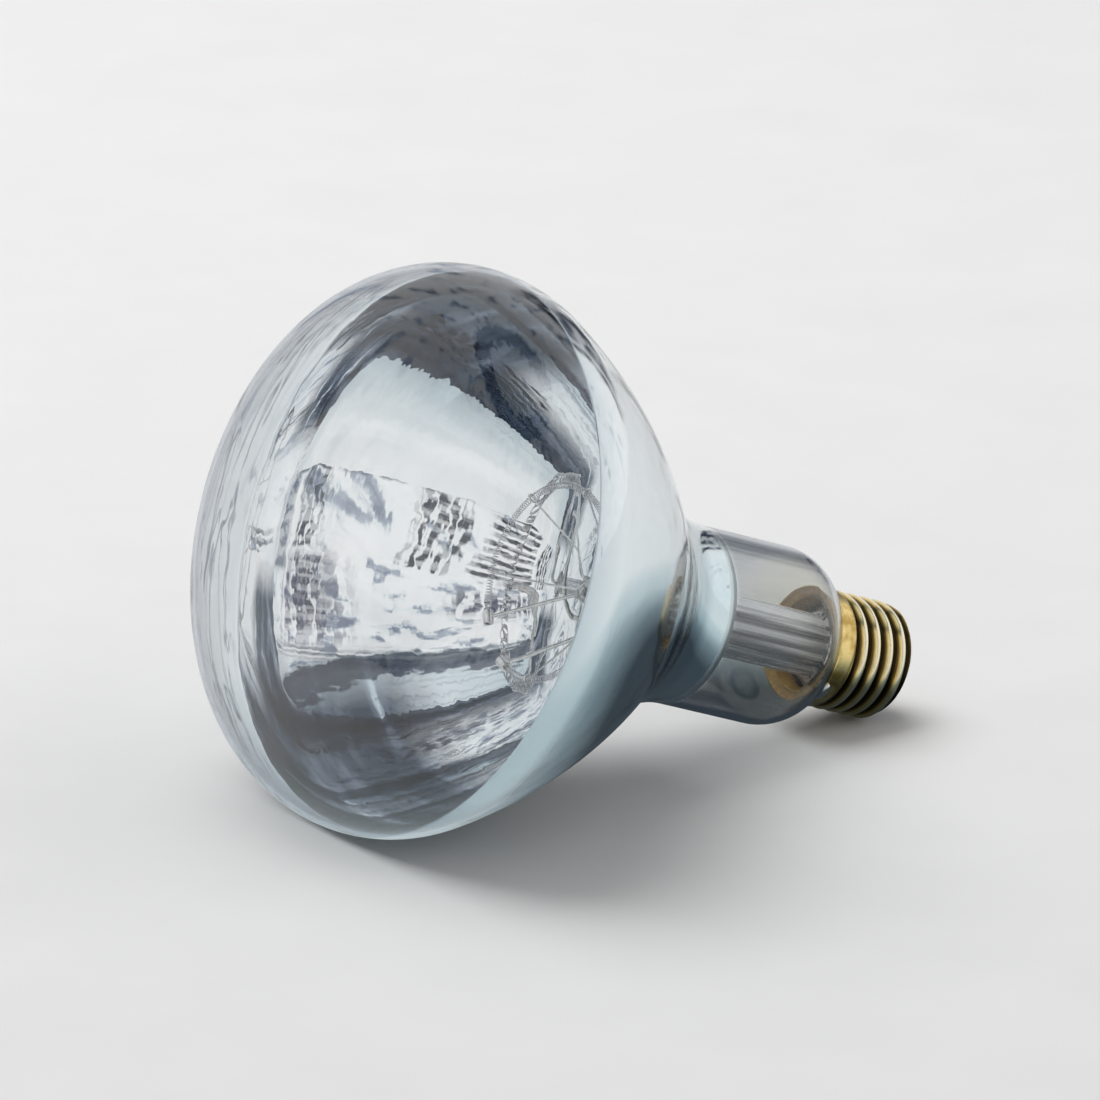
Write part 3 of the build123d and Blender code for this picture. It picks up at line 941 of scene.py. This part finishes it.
class LampCap(bpy.types.Operator):
    """Roll the threaded cap shell and finish its insulator, contact, solder and cement"""

    bl_idname = "lamp.cap"
    bl_label = "Cap"

    def execute(self, context):
        scene = context.scene
        piece = lathe("cap_brass", self.outline(scene))
        self.roll_thread(piece, scene)
        lay(piece, scene, brass_material("brass", scene, True), "brass", "cap_shell")
        finish_nodes(brass_material("contact_brass", scene, False), "centre_contact")
        finish_nodes(
            metal_material("black_glass", (0.008, 0.008, 0.01), (0.02, 0.02, 0.024), (0.1, 0.25), metallic=0),
            "cap_insulator",
        )
        finish_nodes(
            metal_material("solder", (0.55, 0.55, 0.54), (0.82, 0.82, 0.8), (0.12, 0.3), 0.9, 0.3),
            "side_solder",
            "tip_solder",
        )
        finish_nodes(
            metal_material("cement", (0.5, 0.27, 0.04), (0.78, 0.52, 0.14), (0.4, 0.6), 1.2, 0.3, metallic=0),
            "basing_cement",
        )
        return {"FINISHED"}

    def nose(self, scene, z):
        """Outside radius of the shell's rounded end at this height, before the thread is rolled."""
        cap = scene.lamp_cap
        outer = cap.crest + cap.wall
        past = z - (self.end(scene) - cap.nose)
        if past <= 0:
            return outer
        return outer - cap.nose + math.sqrt(max(0, cap.nose**2 - past**2))

    def end(self, scene):
        """Height of the shell's open end."""
        cap = scene.lamp_cap
        return cap_z(scene) + cap.skirt_length + cap.turns * cap.pitch

    def outline(self, scene):
        """Closed section of the sheet brass, the thread still unrolled."""
        cap = scene.lamp_cap
        rim, end = cap_z(scene), self.end(scene)
        thread_start = rim + cap.skirt_length
        rows = int(cap.turns * THREAD_ROWS)
        skirt = [rim + cap.skirt_length * i / SKIRT_ROWS for i in range(SKIRT_ROWS + 1)]
        thread = [thread_start + (end - thread_start) * (i + 0.15) / rows for i in range(rows)]
        outer = [(cap.skirt, z) for z in skirt]
        outer += [(self.nose(scene, z), z) for z in thread]
        outer += [(self.nose(scene, end), end), (cap.nose_bore, end)]
        inner = [(cap.skirt - cap.wall, z) for z in skirt[:-1]]
        inner += [(self.nose(scene, z) - cap.wall, z - 0.4 * cap.wall) for z in thread]
        inner += [(self.nose(scene, end) - cap.wall, end - cap.wall), (cap.nose_bore, end - cap.wall)]
        return outer + inner[::-1] + outer[:1]

    def roll_thread(self, piece, scene):
        """Moves the sheet behind the skirt onto the thread, a disc whose middle walks a helix."""
        cap = scene.lamp_cap
        thread_start = cap_z(scene) + cap.skirt_length
        swing = (cap.crest - cap.root) / 2
        middle = (cap.crest + cap.root) / 2
        slack = 0.2 * MM
        for vertex in piece.data.vertices:
            r, z = vertex.co.xy.length, vertex.co.z
            if r < cap.nose_bore + slack or z < thread_start - slack:
                continue
            outside = r > self.nose(scene, z) - 0.5 * cap.wall
            if outside and z < thread_start + 0.01 * MM:
                continue
            around = math.atan2(vertex.co.y, vertex.co.x)
            phase = math.tau * (z - thread_start + cap.run_in) / cap.pitch - around
            rolled = middle + swing * math.cos(phase) - (0 if outside else cap.wall)
            wanted = min(r, rolled)
            vertex.co.x *= wanted / r
            vertex.co.y *= wanted / r


class LampStage(bpy.types.Operator):
    """Set up the table, the soft lights and the camera of the photograph"""

    bl_idname = "lamp.stage"
    bl_label = "Stage"

    def execute(self, context):
        scene = context.scene
        self.table(scene)
        self.lights(scene)
        self.world(scene)
        self.camera(scene)
        scene.view_settings.view_transform = "Standard"
        return {"FINISHED"}

    def table(self, scene):
        """Pale table whose front edge ends before the camera, so the mirror shows the room; mirror and glass
        see it glowing, with a painted shadow under the lamp.
        """
        stage = scene.lamp_stage
        heading = Vector((math.cos(stage.heading), math.sin(stage.heading), 0))
        bpy.ops.object.select_all(action="DESELECT")
        bpy.ops.mesh.primitive_plane_add(
            size=TABLE_SIZE,
            location=heading * (TABLE_SIZE / 2 - stage.table_front),
            rotation=(0, 0, stage.heading),
        )
        table = bpy.context.object
        table.name = "table"
        material, tree, output = new_material("table_paper")
        place = object_place(tree)
        grain = add_noise(tree, place, 30.0, detail=2.0)
        paper = principled(
            tree, Roughness=0.9, Specular_IOR_Level=0.1, Base_Color=ramp(tree, grain, *PAPER_TONES)
        )
        # Painted shadow: mirror and glass see a glowing tone, dark under the lamp, in place of the lit paper
        painted_shadow_glow = tree.nodes.new("ShaderNodeEmission")
        shade = ramp(tree, self.from_shade(tree, stage, place), *SHADE_TONES)
        tree.links.new(shade, painted_shadow_glow.inputs["Color"])
        shown = mix_shaders(tree, mirrored_rays(tree), paper, painted_shadow_glow.outputs[0])
        tree.links.new(shown, output.inputs["Surface"])
        table.data.materials.append(material)

    def from_shade(self, tree, stage, vector):
        """Distance from the middle of the lamp's shade, one where the shade ends, in table coordinates."""
        turn = Matrix.Rotation(-stage.heading, 3, "Z")
        centre = turn @ SHADE_CENTRE - Vector((TABLE_SIZE / 2 - stage.table_front, 0, 0))
        total = None
        for axis, reach in zip((Vector((1, 0, 0)), Vector((0, 1, 0))), SHADE_REACH):
            axis = turn @ axis
            off = math_node(tree, "SUBTRACT", dot(tree, vector, axis), centre.dot(axis))
            off = math_node(tree, "DIVIDE", math_node(tree, "ABSOLUTE", off), reach)
            off = math_node(tree, "POWER", off, 2)
            total = off if total is None else math_node(tree, "ADD", total, off)
        return math_node(tree, "SQRT", total)

    def lights(self, scene):
        """Two square softboxes, which mirror and glass don't show."""
        for name, place, target, power in SOFTBOXES:
            data = bpy.data.lights.new(name, "AREA")
            data.size = SOFTBOX_SIZE
            data.energy = power
            lamp = bpy.data.objects.new(name, data)
            lamp.location = place
            lamp.rotation_euler = (Vector(target) - Vector(place)).to_track_quat("-Z", "Y").to_euler()
            lamp.visible_glossy = False
            lamp.visible_transmission = False
            scene.collection.objects.link(lamp)

    def world(self, scene):
        """The studio around the table, which the mirror and the glass show."""
        world = bpy.data.worlds.new("studio")
        scene.world = world
        world.use_nodes = True
        tree = world.node_tree
        look = tree.nodes.new("ShaderNodeTexCoord").outputs["Generated"]
        jagged = math_node(tree, "SUBTRACT", add_noise(tree, look, 22.0, detail=1.0), 0.5)
        up = math_node(tree, "ADD", part(tree, look, "Z"), math_node(tree, "MULTIPLY", jagged, 0.05))
        upright = add_noise(tree, look, 2.2, detail=3.0, distortion=0.3, stretch=(6, 6, 0.8))
        colour = ramp(tree, upright, *WALL_TONES)
        ceiling = ramp(tree, remap(tree, up, 0, 1, 0.88, 1), *CEILING_TONES)
        colour = blend(tree, remap(tree, up, 0, 1, 0.895, 0.9), colour, ceiling)
        colour = blend(tree, remap(tree, up, 1, 0, -0.22, -0.19), colour, GROUND_TONE)
        wander = add_noise(tree, look, 9.0, detail=3.0)
        ragged = math_node(tree, "MULTIPLY", math_node(tree, "SUBTRACT", wander, 0.5), 0.06)
        worn = remap(tree, add_noise(tree, look, 16.0, detail=2.0), 0.45, 1, 0.42, 0.56)
        for *shape, tone in STUDIO:
            mask = math_node(tree, "MULTIPLY", patch(tree, look, ragged, *shape), worn)
            colour = blend(tree, mask, colour, tone)
        studio = tree.nodes.new("ShaderNodeBackground")
        tree.links.new(colour, studio.inputs["Color"])

        plain = tree.nodes["Background"]
        path = tree.nodes.new("ShaderNodeLightPath")
        backdrop = blend(tree, path.outputs["Is Camera Ray"], ROOM_LIGHT, BACKDROP)
        tree.links.new(backdrop, plain.inputs["Color"])
        shown = mix_shaders(tree, mirrored_rays(tree), plain.outputs[0], studio.outputs[0])
        tree.links.new(shown, tree.nodes["World Output"].inputs["Surface"])

    def camera(self, scene):
        """The photograph's camera, aimed so that the lamp stands where the photograph shows it."""
        stage = scene.lamp_stage
        ahead = Vector(
            (
                math.cos(stage.elevation) * math.cos(stage.heading),
                math.cos(stage.elevation) * math.sin(stage.heading),
                -math.sin(stage.elevation),
            )
        )
        right = ahead.cross(Vector((0, 0, 1))).normalized()
        down = ahead.cross(right)
        data = bpy.data.cameras.new("camera")
        data.lens = stage.lens
        data.sensor_width = SENSOR_WIDTH
        data.clip_start, data.clip_end = 0.1, 50
        camera = bpy.data.objects.new("camera", data)
        scene.collection.objects.link(camera)
        target = lamp_frame(scene) @ Vector((0, 0, stage.aim))
        picture = stage.distance * data.sensor_width / data.lens
        offset = right * (stage.aim_right * picture) + down * (stage.aim_down * picture)
        camera.location = target - offset - ahead * stage.distance
        camera.rotation_mode = "QUATERNION"
        camera.rotation_quaternion = ahead.to_track_quat("-Z", "Y")
        scene.camera = camera


class LampPanel(bpy.types.Panel):
    """Buttons that build the lamp step by step."""

    bl_idname = "VIEW3D_PT_lamp"
    bl_label = "Infrared heat lamp"
    bl_space_type = "VIEW_3D"
    bl_region_type = "UI"
    bl_category = "Lamp"

    def draw(self, context):
        """One button for each step."""
        for step in STEPS:
            self.layout.operator(step.bl_idname)


STEPS = (LampBulb, LampFilament, LampCap, LampStage)
CLASSES = (*PROPERTY_GROUPS.values(), *STEPS, LampPanel)
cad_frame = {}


def register():
    """Adds the operators, the panel and the sizes to the scene."""
    for cls in CLASSES:
        bpy.utils.register_class(cls)
    for name, group in PROPERTY_GROUPS.items():
        setattr(bpy.types.Scene, name, bpy.props.PointerProperty(type=group))


def unregister():
    """Takes them away again."""
    for name in PROPERTY_GROUPS:
        delattr(bpy.types.Scene, name)
    for cls in reversed(CLASSES):
        bpy.utils.unregister_class(cls)


def main():
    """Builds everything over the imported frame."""
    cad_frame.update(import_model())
    register()
    bpy.ops.lamp.bulb()
    bpy.ops.lamp.filament()
    bpy.ops.lamp.cap()
    bpy.ops.lamp.stage()


if __name__ == "__main__":
    main()
